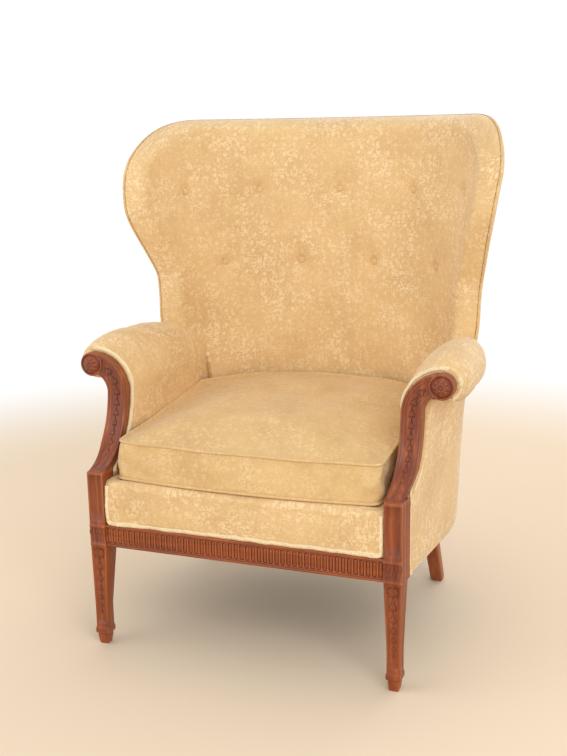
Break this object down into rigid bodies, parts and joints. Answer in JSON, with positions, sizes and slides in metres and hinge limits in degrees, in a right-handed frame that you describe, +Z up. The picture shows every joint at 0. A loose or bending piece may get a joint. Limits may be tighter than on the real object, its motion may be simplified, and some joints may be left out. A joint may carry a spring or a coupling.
{
  "type": "wingback armchair",
  "caption": "Upholstered wingback armchair with a buttoned barrel back, roll-over arms, a carved and fluted mahogany front and a loose seat cushion that lifts out.",
  "frame": {"origin": "on the floor, under the middle of the chair's width and depth", "axes": "+X to the right seen from the front, +Y to the back, +Z up"},
  "size_m": [0.8486, 0.7326, 1.058],
  "materials": {
    "mahogany": "polished mahogany, worn on the edges",
    "beech": "plain beech",
    "damask": "self-coloured gold damask with small leaf sprigs",
    "cushion_damask": "the same damask, worn smooth",
    "braid": "pale woven braid",
    "jute": "jute webbing and hessian",
    "cotton": "dark cotton dust cloth",
    "steel": "coppered spring wire"
  },
  "bodies": {
    "chair_frame": {"front_leg_left": "mahogany", "front_leg_right": "mahogany", "arm_stump_left": "mahogany", "arm_stump_right": "mahogany", "front_rail": "mahogany", "back_rail": "beech", "crest_rail": "beech", "back_tacking_rail": "beech", "side_rail_left": "beech", "side_rail_right": "beech", "back_leg_left": "beech", "back_leg_right": "beech", "arm_tacking_rail_left": "beech", "arm_tacking_rail_right": "beech", "wing_frame_left": "beech", "wing_frame_right": "beech", "corner_block_left": "beech", "corner_block_right": "beech", "arm_rail_left": "beech", "arm_rail_right": "beech", "seat_deck": "damask", "inside_back": "damask", "outside_back": "damask", "inside_arm_left": "damask", "inside_arm_right": "damask", "outside_wing_left": "damask", "outside_wing_right": "damask", "outside_arm_left": "damask", "outside_arm_right": "damask", "back_button_1": "damask", "back_button_2": "damask", "back_button_3": "damask", "back_button_4": "damask", "back_button_5": "damask", "back_button_6": "damask", "back_button_7": "damask", "back_button_8": "damask", "back_button_9": "damask", "front_gimp": "braid", "arm_gimp_left": "braid", "arm_gimp_right": "braid", "panel_gimp_left": "braid", "panel_gimp_right": "braid", "seat_webbing": "jute", "spring_hessian": "jute", "dust_cloth": "cotton", "seat_spring_1": "steel", "seat_spring_2": "steel", "seat_spring_3": "steel", "seat_spring_4": "steel", "seat_spring_5": "steel", "seat_spring_6": "steel", "seat_spring_7": "steel", "seat_spring_8": "steel", "seat_spring_9": "steel"},
    "seat_cushion": {"seat_cushion": "cushion_damask", "cushion_welt_top": "cushion_damask", "cushion_welt_bottom": "cushion_damask"}
  },
  "joints": [
    {"name": "cushion_lift", "type": "slide", "parent": "chair_frame", "child": "seat_cushion", "axis": [0, 0, 1], "range_m": [0, 0.3]}
  ]
}
